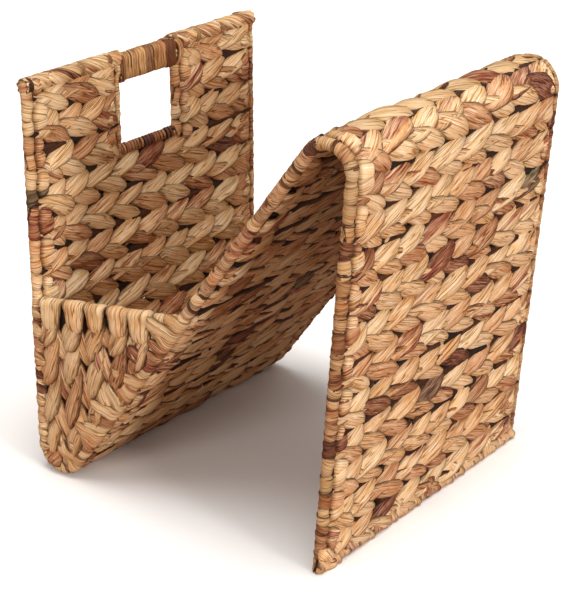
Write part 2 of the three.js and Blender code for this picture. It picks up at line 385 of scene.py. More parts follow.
def lay_on_guide(name):
    """Group that lays flat places, along and across a guide and up from it, on the guide"""
    tree, m, given = new_tree(
        name, "GeometryNodeTree",
        [("Guide", "object"), ("Across", "vector", (0.0, 1.0, 0.0)), ("Flat place", "vector"),
         ("Lead", "length", PATH_LEAD * MM)],
        [("Place", "vector")])
    guide = m.fed("GeometryNodeObjectInfo", {"Object": given["Guide"]}, transform_space="ORIGINAL")
    along, side, up = m.split(given["Flat place"])
    sample = m.fed("GeometryNodeSampleCurve",
                   {"Curves": guide.outputs["Geometry"], "Length": along + given["Lead"]},
                   mode="LENGTH", data_type="FLOAT")
    base = Field(m, sample.outputs["Position"])
    tangent = Field(m, sample.outputs["Tangent"])
    raised = m.cross(tangent, given["Across"])
    place = base + m.scale(given["Across"], side) + m.scale(raised, up)
    x, y, z = m.split(place)
    finish_tree(m, m.join(x, y, m.math("MAXIMUM", z, FLOOR_GAP * MM)))
    return tree


def leaf_section(name):
    """Group that gives a stalk's flattened section its place round the strand's middle"""
    tree, m, given = new_tree(
        name, "GeometryNodeTree",
        [("Middle", "vector"), ("Ahead", "vector"), ("Outward", "vector"), ("Angle", "number"),
         ("Width", "length", 0.016), ("Thickness", "length", 0.006), ("Curl", "number", 0.2),
         ("Ridge height", "number", 0.12), ("Ridge count", "number", 2.5), ("Ridge shift", "number")],
        [("Place", "vector"), ("Across", "number")])
    ahead = m.unit(given["Ahead"] - given["Middle"])
    wide = m.unit(m.cross(given["Outward"], ahead))
    out = m.unit(m.cross(ahead, wide))
    cosine = m.math("COSINE", given["Angle"])
    sine = m.math("SINE", given["Angle"])
    across = m.math("SIGN", cosine) * m.math("POWER", m.math("ABSOLUTE", cosine), SLAB_ACROSS)
    side = m.math("ABSOLUTE", sine)
    slab = m.math("SIGN", sine) * m.math("POWER", side, SLAB_UP) * 0.5
    ridge = m.math("SINE", across * given["Ridge count"] * math.pi + given["Ridge shift"])
    height = slab + ridge * side * given["Ridge height"] - across * across * given["Curl"]
    place = given["Middle"] + m.scale(wide, across * given["Width"] * 0.5)
    place = place + m.scale(out, height * given["Thickness"])
    finish_tree(m, place, across)
    return tree


STRAND_SIZES = [
    ("Stalk width", "length", 0.0165), ("Stalk thickness", "length", 0.0064),
    ("Curl", "number", 0.16), ("Ridge height", "number", 0.16), ("Ridge count", "number", 2.4),
    ("Rings", "count", 100), ("Points round", "count", 20),
]


def strand_tubes(m, given):
    """A straight tube for each strand, one metre long and one metre in radius"""
    tube = m.fed("GeometryNodeMeshCylinder", {
        "Vertices": given["Points round"], "Side Segments": given["Rings"], "Radius": 1.0, "Depth": 1.0,
    }, fill_type="NGON")
    copies = m.fed("GeometryNodeInstanceOnPoints", {
        "Points": given["Strands"], "Instance": tube.outputs["Mesh"],
    })
    return m.node("GeometryNodeRealizeInstances", copies.outputs[0]).outputs[0]


def keep_looks(m, geometry, fibre, across, key, shade):
    """Keeps what the stalk's material reads: its fibres' places, tone, hue, edge, and its painted shade with
    the strand's extra painted shade and darker tone added
    """
    geometry = m.keep(geometry, "fibre", fibre, "FLOAT_VECTOR")
    looks = {
        "stalk_tone": m.chance(0.0, 1.0, key, 34), "stalk_hue": m.chance(0.0, 1.0, key, 35),
        "stalk_edge": m.math("ABSOLUTE", across), "stalk_shade": shade + m.named("dye"),
    }
    for label, value in looks.items():
        geometry = m.keep(geometry, label, value)
    return geometry


def strand_tree(name, sizes, path, shape):
    """A tree that grows one stalk for each point of its mesh, along a path of its own kind

    path(m, given, t) gives the flat place and the outward side at t, and
    shape(m, given, t) gives width and thickness factors, a tone key and a painted shade.
    """
    inputs = [("Strands", "geometry"), ("Guide", "object"), ("Across", "vector", (0.0, 1.0, 0.0)),
              ("Finish", "material")] + sizes + STRAND_SIZES
    tree, m, given = new_tree(name, "GeometryNodeTree", inputs, [("Weave", "geometry")])
    tubes = strand_tubes(m, given)
    x, y, z = m.split(m.field("GeometryNodeInputPosition"))
    t = z + 0.5
    angle = m.math("ARCTAN2", y, x)
    middle, outward = path(m, given, t)
    ahead, _ = path(m, given, t + AHEAD)
    width, thickness, key, shade = shape(m, given, t)
    size = m.named("size")
    section = m.fed("GeometryNodeGroup", {
        "Middle": middle, "Ahead": ahead, "Outward": outward, "Angle": angle,
        "Width": given["Stalk width"] * width * size,
        "Thickness": given["Stalk thickness"] * thickness * size,
        "Curl": given["Curl"],
        "Ridge height": given["Ridge height"],
        "Ridge count": given["Ridge count"] * m.chance(0.7, 1.3, key, 31),
        "Ridge shift": m.chance(0.0, 6.28, key, 32),
    }, node_tree=once(bpy.data.node_groups, "Leaf section", leaf_section))
    laid = m.fed("GeometryNodeGroup", {
        "Guide": given["Guide"], "Across": given["Across"], "Flat place": section.outputs["Place"],
    }, node_tree=once(bpy.data.node_groups, "Lay on guide", lay_on_guide))
    across = Field(m, section.outputs["Across"])
    fibre = m.join(t * m.named("length"), across * given["Stalk width"] * 0.5 * width,
                   m.math("SINE", angle) * FIBRE_DEPTH + m.chance(0.0, 9.0, key, 33))
    moved = m.fed("GeometryNodeSetPosition", {
        "Geometry": keep_looks(m, tubes, fibre, across, key, shade), "Position": laid.outputs["Place"],
    })
    smooth = m.node("GeometryNodeSetShadeSmooth", moved.outputs[0])
    real = m.node("GeometryNodeRealizeInstances", smooth.outputs[0])
    painted = m.fed("GeometryNodeSetMaterial", {"Geometry": real.outputs[0], "Material": given["Finish"]})
    finish_tree(m, painted.outputs[0])
    return tree


def strand_place(m, t):
    """Where t falls between a strand's two ends"""
    start = m.named("from")
    return start + (m.named("to") - start) * t


# Twined rows: flattened stalks on both faces, each beside the end of the one before

def twine_path(m, given, t):
    """A leaf's thin start runs along its band's middle, then the leaf slants across its row"""
    place = strand_place(m, t)
    key = m.named("number")
    face = m.named("face")
    slant = m.named("hand") * face
    within = t * (1.0 + LEAF_LEAD) - LEAF_LEAD
    early = m.math("MINIMUM", within, 0.0)
    late = m.math("MAXIMUM", within, 0.0)
    across = late * 2.0 - 1.0 + early * 0.5
    window = m.swell(t)
    sway = slant * across * given["Sway"] + window * m.chance(-0.0018, 0.0018, key, 23)
    sway = sway + m.drift(place, key, 40.0, 11) * 0.003
    crown = m.math("POWER", m.math("SINE", m.math("POWER", t, 1.3) * math.pi), 0.3)
    rise = face * crown * (given["Rise"] + m.chance(-0.0012, 0.0008, key, 24))
    rise = rise + m.drift(place, key, 45.0, 12) * 0.002
    middle = m.join(m.named("row") + sway, place, rise)
    outward = m.join(slant * (given["Tilt"] + m.chance(-0.1, 0.1, key, 27)), 0.0, face)
    return middle, outward


def twine_shape(m, given, t):
    """Widest at half to three quarters of the leaf, thin at its start and pointed at its end, with painted
    shade at both ends
    """
    key = m.named("number")
    window = m.swell(t)
    opening = m.math("MINIMUM", t / m.chance(0.5, 0.78, key, 25), 1.0)
    closing = m.math("MINIMUM", (1.0 - t) / m.chance(0.2, 0.42, key, 26), 1.0)
    leaf = m.math("POWER", opening, 0.85) * m.math("POWER", closing, 0.62)
    width = 0.22 + leaf * m.chance(0.76, 1.0, key, 21)
    thickness = 0.35 + m.math("SQRT", window) * m.chance(0.15, 0.35, key, 22)
    # Painted shade at both ends of a leaf, where it tucks under its neighbours
    shade = 1.0 - m.math("POWER", window, 0.36)
    return width, thickness, key, shade


TWINE_SIZES = [("Sway", "length", 0.0072), ("Rise", "length", 0.0046), ("Tilt", "number", 0.32)]


# Edge wraps: a stalk laid round a rod, its two tails on the weave

def wrap_run(m, given, t):
    """How far a place on a wrap is from the rod's outermost line and past the rod, and its groove"""
    quarter = given["Rod reach"] * (math.pi / 2)
    start = -1.0 * (quarter + m.named("tail_back"))
    end = quarter + m.named("tail_front")
    run = start + (end - start) * t
    over = m.math("MAXIMUM", m.math("ABSOLUTE", run) - quarter, 0.0)
    groove = m.math("EXPONENT", m.math("POWER", (over - GROOVE_PLACE) * GROOVE_NARROWNESS, 2.0) * -1.0)
    return run, over, groove


def wrap_turn(m, given, t):
    """Run along a wrap, how far it is past the rod, its angle round the rod and its tail's lift"""
    run, over, groove = wrap_run(m, given, t)
    angle = m.clamp(run / given["Rod reach"], -math.pi / 2, math.pi / 2)
    lifted = m.math("MINIMUM", over * over * given["Tail rise"], given["Tail height"])
    tip = 1.0 - m.math("MINIMUM", m.swell(t) * 3.5, 1.0)
    return run, over, angle, lifted - groove * given["Groove"] - tip * TIP_DROP


def wrap_path(m, given, t):
    """A wrap round a side rod whose tails lie on the weave's two faces"""
    radius = given["Rod reach"]
    run, over, angle, lifted = wrap_turn(m, given, t)
    side = m.named("side")
    across = m.named("rod") + side * (radius * m.math("COSINE", angle) - over)
    up = radius * m.math("SINE", angle) + m.math("SIGN", run) * lifted
    middle = m.join(m.named("row") + m.named("lean") * run, across, up)
    outward = m.join(0.0, side * m.math("COSINE", angle), m.math("SINE", angle))
    return middle, outward


def hem_path(m, given, t):
    """A wrap round a side rod whose tails lie on a pocket's end instead"""
    radius = given["Rod reach"]
    run, over, angle, lifted = wrap_turn(m, given, t)
    side = m.named("side")
    beside = radius * m.math("SINE", angle) + m.math("SIGN", run) * lifted
    inward = over - radius * m.math("COSINE", angle)
    middle = m.join(m.named("row") + m.named("lean") * run, m.named("rod") + side * beside, inward)
    outward = m.join(0.0, side * m.math("SINE", angle), -1.0 * m.math("COSINE", angle))
    return middle, outward


def wrap_shape(m, given, t):
    """Tapered tails with blunt ends, with painted shade at the tips, in the groove beside the rod and on the
    rod's strip
    """
    _, over, groove = wrap_run(m, given, t)
    ends = m.swell(t)
    blunt = m.math("MINIMUM", ends * 2.6, 1.0)
    width = 1.0 - m.named("taper") * m.math("ABSOLUTE", t - 0.5) * 2.0
    width = width * (0.3 + blunt * 0.7)
    strip = m.clamp(1.0 - over * STRIP_NARROWNESS, 0.0, 1.0)
    # Painted shade at the tips, where they dive into the weave, in the groove and on the strip over the rod
    shade = 1.0 - m.math("MINIMUM", ends * 4.0, 1.0) + groove * given["Groove"] * GROOVE_PAINTED_SHADE
    shade = shade + strip * m.named("strip")
    return width, 0.4 + blunt * 0.6, m.named("number") * KEY_STEP + 5.0, shade


WRAP_SIZES = [("Rod reach", "length", 0.005), ("Tail rise", "number", 12.0),
              ("Tail height", "length", 0.002), ("Groove", "length", 0.0035)]


# Windings: a stalk wound many times round a rod

def winding_path(m, given, t):
    """Turns round the rod, drawn out to a rounded square where the strand asks for one"""
    place = strand_place(m, t)
    angle = m.named("turn") + m.named("turns") * t * math.tau
    loose = m.drift(place, m.named("number"), 60.0, 14) * 0.0012
    reach_side = m.named("reach_side") + loose
    reach_up = m.named("reach_up") + loose
    cosine = m.math("COSINE", angle)
    sine = m.math("SINE", angle)
    rounder = m.math("SQRT", cosine * cosine * cosine * cosine + sine * sine * sine * sine)
    stretch = 1.0 + m.named("square") * (1.0 - rounder) * 0.7
    slanted = place + reach_up * sine * given["Slant"]
    middle = m.join(slanted, m.named("rod") + reach_side * cosine * stretch,
                    m.named("up") + reach_up * sine * stretch)
    outward = m.join(0.0, cosine, sine)
    return middle, outward


def winding_shape(m, given, t):
    """Even, with short tapered ends"""
    ends = m.math("MINIMUM", m.swell(t) * 12.0, 1.0)
    return 0.6 + ends * 0.4, 0.5 + ends * 0.5, m.named("number") * KEY_STEP, 0.0


# Inner stalks: flat stalks between the rows, seen at the bottom of the weave's pits, dark with painted shade

def inner_path(m, given, t):
    """Almost straight along the row's border"""
    place = strand_place(m, t)
    number = m.named("number")
    middle = m.join(m.named("row") + m.drift(place, number, 30.0, 15) * 0.004, place,
                    m.drift(place, number, 30.0, 16) * 0.002)
    return middle, m.join(0.0, 0.0, 1.0)


def inner_shape(m, given, t):
    """Uneven in width, with a new tone every 40 mm, and full painted shade"""
    place = strand_place(m, t)
    number = m.named("number")
    width = 1.0 + m.drift(place, number, 60.0, 17) * 1.2
    # The inner stalks carry full painted shade
    return width, 1.0, m.math("FLOOR", place * TONES_PER_METRE) + number * KEY_STEP, 1.0


TREES = {
    "Twined rows": (TWINE_SIZES, twine_path, twine_shape),
    "Edge wraps": (WRAP_SIZES, wrap_path, wrap_shape),
    "Pocket hems": (WRAP_SIZES, hem_path, wrap_shape),
    "Windings": ([("Slant", "number", 0.0)], winding_path, winding_shape),
    "Inner stalks": ([], inner_path, inner_shape),
}


# Strands and pieces

LENGTHS = {"row", "from", "to", "length", "rod", "up", "tail_front", "tail_back", "reach_side", "reach_up"}


def in_metres(strand):
    """The strand with its lengths turned from mm to metres"""
    return {label: value * MM if label in LENGTHS else value for label, value in strand.items()}


def strand_points(name, strands):
    """A mesh with one point for each strand, which keeps the strand's numbers"""
    mesh = bpy.data.meshes.new(name)
    mesh.from_pydata([(0.0, 0.0, 0.0)] * len(strands), [], [])
    for label in strands[0]:
        kept = mesh.attributes.new(label, "FLOAT", "POINT")
        kept.data.foreach_set("value", [float(strand[label]) for strand in strands])
    return mesh


def settle(piece, slot, *nodes):
    """Says what the finished piece rides on and hides the CAD nodes that it stands for; slot is not used"""
    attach(piece, "root")
    if nodes:
        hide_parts(*nodes)


def grow(name, kind, finish, strands, guide, *nodes, slot="hyacinth", **sizes):
    """Runs one kind of tree over the strands and settles the plain mesh that it gives"""
    tree = once(bpy.data.node_groups, kind, strand_tree, *TREES[kind])
    piece = bpy.data.objects.new(name, strand_points(name, strands))
    bpy.context.collection.objects.link(piece)
    weave = piece.modifiers.new("Weave", "NODES")
    weave.node_group = tree
    ids = {item.name: item.identifier for item in tree.interface.items_tree if item.in_out == "INPUT"}
    weave[ids["Guide"]] = guide
    weave[ids["Finish"]] = once(bpy.data.materials, finish, stalk_material, *FINISHES[finish])
    for label, value in sizes.items():
        weave[ids[label.replace("_", " ")]] = value
    view = bpy.context.evaluated_depsgraph_get()
    mesh = bpy.data.meshes.new_from_object(piece.evaluated_get(view), depsgraph=view)
    piece.modifiers.clear()
    piece.data = mesh
    for label in strands[0]:
        kept = mesh.attributes.get(label)
        if kept:
            mesh.attributes.remove(kept)
    settle(piece, slot, *nodes)


def twine_leaves(chance, number, row, start, end, hand, lay, **same):
    """The leaves of one row on its two faces; sizes in mm, lay for one turn of the row's two stalks"""
    leaves = []
    lay *= chance.uniform(0.94, 1.14)
    place = start - chance.uniform(0.1, 0.6) * lay / 2
    while place < end - LEAF_ROOM:
        run = lay / 2 * chance.uniform(0.87, 1.13)
        first = max(place - LEAF_LEAD * run, start - LEAF_OVERRUN)
        last = min(place + LEAF_REACH * run, end + LEAF_OVERRUN)
        if last - first > SHORTEST_LEAF:
            for face in (-1, 1):
                leaf = {"row": row, "from": first, "to": last, "length": last - first, "hand": hand,
                        "face": face, "number": number + len(leaves), "size": 1.0, "dye": 0.0}
                leaf.update(same)
                leaves.append(in_metres(leaf))
        place += run
    return leaves


def inner_strand(row, start, stop, number, size):
    """One flat dark stalk along a row's border; sizes in mm"""
    return in_metres({"row": row, "from": start, "to": stop, "length": stop - start, "number": number,
                      "size": size})


def wrap_strand(chance, number, row, rod, side, dye=0.0, **changes):
    """One stalk laid round a rod; sizes in mm"""
    strand = {
        "row": row + chance.uniform(-1.2, 1.2), "rod": rod, "side": side,
        "tail_front": chance.uniform(15, 27), "tail_back": chance.uniform(15, 27),
        "lean": chance.uniform(-0.12, 0.12), "taper": chance.uniform(0.1, 0.45), "number": number,
        "size": chance.uniform(0.94, 1.1), "dye": dye, "strip": 0.0,
    }
    strand.update(changes)
    strand["length"] = strand["tail_front"] + strand["tail_back"] + ROUND_ROD
    return in_metres(strand)


def leaning_wrap(chance, number, row, count, rod, side):
    """A wrap whose tails lean the way that its row's stalks do"""
    hand = 1 if count % 2 else -1
    dye = painted_shade_at(row)
    # The rod's strip gets painted shade on the leg, where the wraps face away from the lamps, and is painted
    # a little lighter elsewhere
    strip = -0.1 if dye else chance.uniform(0.2, 0.9)
    return wrap_strand(chance, number, row, rod, side, lean=-side * hand * chance.uniform(0.12, 0.34),
                       taper=chance.uniform(0.2, 0.5), dye=dye, strip=strip)


def winding_strand(chance, number, start, end, reach, pitch, **changes):
    """One stalk wound round a rod from start to end; sizes in mm"""
    strand = {
        "from": start, "to": end, "rod": 0.0, "up": 0.0, "reach_side": reach, "reach_up": reach,
        "square": 0.0, "turn": chance.uniform(0, math.tau), "turns": (end - start) / pitch,
        "number": number, "size": 1.0, "dye": 0.0,
    }
    strand.update(changes)
    around = strand["turns"] * math.pi * (strand["reach_side"] + strand["reach_up"])
    strand["length"] = math.hypot(end - start, around)
    return in_metres(strand)


def tie_strand(chance, number, place, half, reach, pitch, **changes):
    """A short winding round one place; sizes in mm"""
    return winding_strand(chance, number, place - half, place + half, reach, pitch, **changes)


def draws(settings, piece):
    """The random draws of one kind of piece"""
    return random.Random(settings.seed + DRAW_SHIFTS[piece])


# Materials

def stalk_surface(name):
    """Group for dry stalks: streaks and ridges along the fibres, blotches, and painted shade along the edges,
    in the creases and where the stalk carries it
    """
    tree, m, given = new_tree(
        name, "ShaderNodeTree",
        [("Base", "colour", (0.6, 0.4, 0.2, 1.0)), ("Flush", "colour", (0.42, 0.13, 0.07, 1.0)),
         ("Fibre place", "vector"), ("Edge", "number"), ("Hue", "number"), ("Shade", "number"),
         ("Fibre scale", "number", 900.0), ("Streak strength", "number", 0.9),
         ("Blotch strength", "number", 0.6), ("Shade strength", "number", 0.65)],
        [("Colour", "colour"), ("Roughness", "number"), ("Height", "number")])
    along, across, layer = m.split(given["Fibre place"])

    def noise(stretch, scale, detail):
        """Noise drawn out along the fibres"""
        made = m.fed("ShaderNodeTexNoise", {
            "Vector": m.join(along * stretch, across, layer), "Scale": scale, "Detail": detail,
            "Roughness": 0.6,
        }, noise_dimensions="3D")
        return Field(m, made.outputs[0])

    def lines(pattern, half_width):
        """Thin lines where the pattern passes through its middle"""
        return m.field("ShaderNodeMapRange", m.math("ABSOLUTE", pattern - 0.5), 0.0, half_width, 1.0, 0.0)

    fine = noise(stretch=0.04, scale=given["Fibre scale"], detail=2.0)
    coarse = noise(stretch=0.045, scale=given["Fibre scale"] * 0.32, detail=1.0)
    blotch = noise(stretch=0.35, scale=110.0, detail=3.0)
    crease = lines(coarse, 0.036)
    thread = lines(fine, 0.07)
    light_streak = m.field("ShaderNodeMapRange", fine, 0.54, 0.7, 0.0, 1.0)
    stain = m.field("ShaderNodeMapRange", blotch, 0.5, 0.75, 0.0, 1.0)
    flush = noise(stretch=0.08, scale=170.0, detail=2.0) + (given["Hue"] - 1.0) * 0.9
    red = m.field("ShaderNodeMapRange", flush, 0.4, 0.58, 0.0, 0.75)
    base = m.field("ShaderNodeMix", red, given["Base"], given["Flush"], data_type="RGBA")
    # Painted shade: edge darkens each stalk along its edges, where the leaves overlap; crease darkens the
    # bump's creases, fibre colour and painted shade in one; Shade brings each stalk's painted shade
    edge = m.math("POWER", given["Edge"], 5.5)
    dark_streak = m.math("MAXIMUM", crease, thread * 0.55)
    deepen = 1.0 + dark_streak * given["Streak strength"] + stain * given["Blotch strength"]
    deepen = deepen + edge * 0.6 + given["Shade"] * given["Shade strength"] - light_streak * 0.45
    dim = m.math("POWER", 0.58, given["Shade"]) * (1.0 - edge * 0.8) * (1.0 - crease * 0.5)
    colour = m.scale(m.field("ShaderNodeGamma", base, deepen), dim)
    roughness = 0.5 + fine * 0.3
    height = fine * 0.5 + coarse * 0.7 - crease * 0.4
    finish_tree(m, colour, roughness, height)
    return tree


def stalk_material(name, palette, fibre_scale, streaks, blotches, bump):
    """A dry stalk finish whose tone follows each stalk"""
    material = bpy.data.materials.new(name)
    material.use_nodes = True
    tree = material.node_tree
    shader = tree.nodes["Principled BSDF"]
    m = Maker(tree)

    def kept(label, out):
        made = m.node("ShaderNodeAttribute", attribute_name=label)
        return Field(m, made.outputs[out])

    tone = kept("stalk_tone", "Fac")
    ramp = m.node("ShaderNodeValToRGB", tone)
    elements = ramp.color_ramp.elements
    while len(elements) < len(palette):
        elements.new(0.5)
    for element, (place, colour) in zip(elements, palette):
        element.position = place
        element.color = (*colour, 1.0)
    surface = m.fed("ShaderNodeGroup", {
        "Base": ramp.outputs[0], "Fibre place": kept("fibre", "Vector"), "Edge": kept("stalk_edge", "Fac"),
        "Hue": kept("stalk_hue", "Fac"), "Shade": kept("stalk_shade", "Fac"), "Fibre scale": fibre_scale,
        "Streak strength": streaks, "Blotch strength": blotches,
    }, node_tree=once(bpy.data.node_groups, "Stalk surface", stalk_surface))
    dent = m.fed("ShaderNodeBump", {
        "Strength": bump, "Distance": 1 * MM, "Height": surface.outputs["Height"],
    })
    m.put(shader.inputs["Base Color"], surface.outputs["Colour"])
    m.put(shader.inputs["Roughness"], surface.outputs["Roughness"])
    m.put(shader.inputs["Specular IOR Level"], 0.35)
    m.put(shader.inputs["Normal"], dent.outputs[0])
    return material


# Finishes by name: tones with their places, fibre scale, streaks, blotches and bump
FINISHES = {
    "hyacinth_stalks": ([
        (0.0, (0.9, 0.71, 0.48)),
        (0.4, (0.86, 0.64, 0.41)),
        (0.7, (0.81, 0.56, 0.34)),
        (0.85, (0.72, 0.455, 0.27)),
        (0.93, (0.58, 0.34, 0.19)),
        (0.97, (0.42, 0.21, 0.12)),
        (0.993, (0.3, 0.13, 0.08)),
        (1.0, (0.34, 0.28, 0.17)),
    ], 900.0, 1.7, 0.8, 1.0),
    "wound_leaf": ([(0.0, (0.74, 0.52, 0.33)), (0.5, (0.66, 0.44, 0.27)), (1.0, (0.54, 0.34, 0.2))],
                   1000.0, 1.5, 0.8, 0.9),
    # The inner stalks' tones: their own brown, deepened into painted shade
    "inner_pith": ([(0.0, (0.34, 0.17, 0.07)), (0.6, (0.2, 0.09, 0.035)), (1.0, (0.09, 0.04, 0.018))],
                   1200.0, 0.7, 0.5, 0.8),
    "raffia_strands": ([(0.0, (0.56, 0.33, 0.14)), (0.5, (0.46, 0.25, 0.1)), (1.0, (0.32, 0.16, 0.07))],
                       1500.0, 1.0, 0.5, 0.6),
    "sill_twine": ([(0.0, (0.52, 0.28, 0.12)), (0.5, (0.38, 0.18, 0.08)), (1.0, (0.16, 0.06, 0.04))],
                   1500.0, 0.7, 0.5, 0.6),
}


# Pieces of the basket

# What each kind of piece adds to the seed, so that its random draws are its own
DRAW_SHIFTS = {"bands": 0, "edge_wraps": 1, "slope_windings": 2, "top_and_foot": 3, "handle": 4,
               "gussets": 5, "hems": 6, "inner_stalks": 8, "edge_ties": 9}
# First strand number of each kind of piece: the tones and the small random shapes follow the numbers
FIRST = {"gusset_loops": 960, "edge_wraps": 1000, "slope_windings": 1400, "foot_wraps": 1600,
         "handle_bundle": 1700, "handle_windings": 1720, "collars": 1750, "sill_windings": 1760,
         "hems": 1800, "inner_stalks": 2000, "gusset_core": 2000, "edge_ties": 2900,
         "near_top_wraps": 5400, "far_top_wraps": 5540, "near_gusset": 9000, "far_gusset": 9400}
ROW_NUMBERS = 50  # strand numbers kept for each row
UP = (0.0, 0.0, 1.0)
FOLD_SHADE_BEFORE = 20  # the fold's painted shade starts and ends this far from where the fold starts
FOLD_SHADE_AFTER = 55
# Painted shade of the stalks: most round the fold, less on the back and the slope, least in their middles
FOLD_PAINTED_SHADE = 0.45
PANEL_PAINTED_SHADE = 0.2
LIGHT_PAINTED_SHADE = 0.02
LIGHT_SHADE_RUNS = ((150, 370), (path_run_at(140), path_run_at(270)))  # on the back and on the slope, where the painted shade is lighter
WIDE_COLUMN = (1.3, 0.8)  # leaf size and share of the pitch taken by every other gusset column
THIN_COLUMN = (0.9, 0.95)


def band_rows(index):
    """Middles of a band's two rows along the path, mm"""
    start = index * BAND_PITCH - END_OVERHANG
    return start + BAND_PITCH * 0.25, start + BAND_PITCH * 0.75


def band_names(index):
    """CAD nodes of one band, with the part of the width that each covers"""
    name = f"weave_band_{index + 1:02d}"
    if index < HOLE_BANDS:
        beside_hole = UPRIGHT_HALF + 5
        return [(name + "_near", -ROW_END, -beside_hole), (name + "_far", beside_hole, ROW_END)]
    return [(name, -ROW_END, ROW_END)]


def painted_shade_at(row):
    """How much painted shade the stalks get at a place along the path; the leg gets none"""
    if row > FOLD_RUN + FOLD_SHADE_AFTER:
        return 0.0
    if row > FOLD_RUN - FOLD_SHADE_BEFORE:
        return FOLD_PAINTED_SHADE
    pale = any(start < row < end for start, end in LIGHT_SHADE_RUNS)
    return LIGHT_PAINTED_SHADE if pale else PANEL_PAINTED_SHADE


def make_bands(settings):
    """The N's 39 pairs of rows"""
    chance = draws(settings, "bands")
    sizes = {"Rings": 24, "Points_round": 14, "Sway": settings.sway, "Rise": settings.rise,
             "Stalk_width": settings.stalk_width, "Stalk_thickness": settings.stalk_thickness}
    number = 0
    for index in range(BAND_COUNT):
        for node, start, end in band_names(index):
            strands = []
            for row, hand in zip(band_rows(index), (-1, 1)):
                top = row < ROW_PITCH / 2
                # Each row carries the painted shade of its place along the path
                strands += twine_leaves(chance, number, row + TOP_ROW_DROP * top, start, end, hand,
                                        settings.lay_length / MM, dye=painted_shade_at(row),
                                        size=TOP_ROW_SIZE if top else 1.0)
                number += ROW_NUMBERS
            grow(node + "_stalks", "Twined rows", "hyacinth_stalks", strands, n_guide(), node, **sizes)


def make_inner_stalks(settings):
    """Flat stalks along the rows' borders, dark with painted shade, with a few breaks that show daylight"""
    chance = draws(settings, "inner_stalks")
    strands = []
    end = SIDE_Y + 1.5
    for border in range(1, 2 * BAND_COUNT):
        row = border * ROW_PITCH - END_OVERHANG
        holed = border <= 2 * HOLE_BANDS
        for start, stop in [(-end, -UPRIGHT_HALF), (UPRIGHT_HALF, end)] if holed else [(-end, end)]:
            place = start
            while place < stop:
                last = min(stop, place + chance.uniform(50, 170))
                strands.append(inner_strand(row, place, last, FIRST["inner_stalks"] + len(strands),
                                            chance.uniform(0.85, 1.15)))
                place = last + chance.uniform(4, 12)
    grow("inner_stalks", "Inner stalks", "inner_pith", strands, n_guide(), Rings=24, Points_round=8,
         Stalk_width=0.012, Stalk_thickness=0.0075)


def make_edge_wraps(settings):
    """Wraps of the rows round the two side rods, and round the hand hole's uprights"""
    chance = draws(settings, "edge_wraps")
    number = FIRST["edge_wraps"]
    rows = [row for index in range(BAND_COUNT) for row in band_rows(index)]
    bare_start = RIM_RUN + 12
    bare_end = FOLD_RUN + 4
    sizes = {"Rings": 36, "Points_round": 16, "Stalk_width": 0.0222, "Stalk_thickness": 0.003}
    for name, side in (("near_edge_wraps", -1), ("far_edge_wraps", 1)):
        strands = []
        for count, row in enumerate(rows):
            if side < 0 and bare_start < row < bare_end and count % 2:
                continue
            strands.append(leaning_wrap(chance, number, row, count, side * SIDE_Y, side))
            number += 1
        grow(name, "Edge wraps", "hyacinth_stalks", strands, n_guide(), Rod_reach=0.005, **sizes)
    strands = []
    for count, row in enumerate(rows[:2 * HOLE_BANDS]):
        for side in (-1, 1):
            strands.append(leaning_wrap(chance, number, row, count, side * UPRIGHT_HALF, -side))
            number += 1
    grow("hole_edge_wraps", "Edge wraps", "hyacinth_stalks", strands, n_guide(), Rod_reach=0.0045, **sizes)


def make_edge_ties(settings):
    """Thin dark ties round the near side rod, between the wraps of the leg"""
    chance = draws(settings, "edge_ties")
    strands = []
    place = FOLD_RUN + 24
    while place < PATH - 4:
        strands.append(tie_strand(chance, FIRST["edge_ties"] + len(strands), place, 1.2, reach=TIE_REACH,
                                  pitch=1.6, rod=-SIDE_Y, size=chance.uniform(0.12, 0.2), dye=1.6))
        place += ROW_PITCH * chance.uniform(0.8, 1.6)
    grow("edge_ties", "Windings", "wound_leaf", strands, n_guide(), Rings=32, Points_round=8,
         Stalk_width=0.0085, Stalk_thickness=0.005)


def make_slope_windings(settings):
    """Long flat windings along the near sloping edge, above the pocket, with dark ties between them"""
    chance = draws(settings, "slope_windings")
    strands = []
    place = RIM_RUN + 4
    end = FOLD_RUN + 10
    number = FIRST["slope_windings"]
    while place < end:
        run = chance.uniform(16, 40)
        size = chance.uniform(0.8, 1.2)
        strands.append(winding_strand(chance, number, place - 3, place + run + 3, reach=5.2, pitch=8.5 * size,
                                      rod=-SIDE_Y, size=size, dye=chance.uniform(0.0, 0.3)))
        strands.append(tie_strand(chance, number + 1, place + run, 1.5, reach=TIE_REACH, pitch=1.5,
                                  rod=-SIDE_Y, size=0.22, dye=1.8))
        place += run
        number += 2
    grow("slope_edge_windings", "Windings", "wound_leaf", strands, n_guide(), Rings=90, Points_round=10,
         Stalk_width=0.0125, Stalk_thickness=0.0019, Slant=0.3)


def make_hems(settings):
    """Leaves of the pocket's ends turned round the side rods, from the back round the bend to the slope"""
    chance = draws(settings, "hems")
    for name, side, rim in (("near_hem", -1, RIM_NEAR), ("far_hem", 1, RIM_FAR)):
        strands = []
        place = BACK_TOP - rim[0] + 8
        end = path_run_at(rim[1]) + 2
        while place < end:
            on_slope = place > SLOPE_RUN - 20
            front = chance.uniform(15, 30) if on_slope else chance.uniform(8, 14)
            strands.append(wrap_strand(
                chance, FIRST["hems"] + len(strands), place, side * SIDE_Y, side, dye=0.35, tail_front=front,
                tail_back=chance.uniform(8, 14), lean=chance.uniform(-0.8, 0.5) if on_slope else 0.1,
                taper=chance.uniform(0.1, 0.6), size=chance.uniform(0.6, 1.05)))
            place += chance.uniform(9, 15) if on_slope else chance.uniform(14, 19)
        grow(name, "Pocket hems", "hyacinth_stalks", strands, n_guide(), Rings=28, Points_round=14,
             Rod_reach=0.0062, Stalk_width=0.0195, Stalk_thickness=0.003, Groove=0.0)


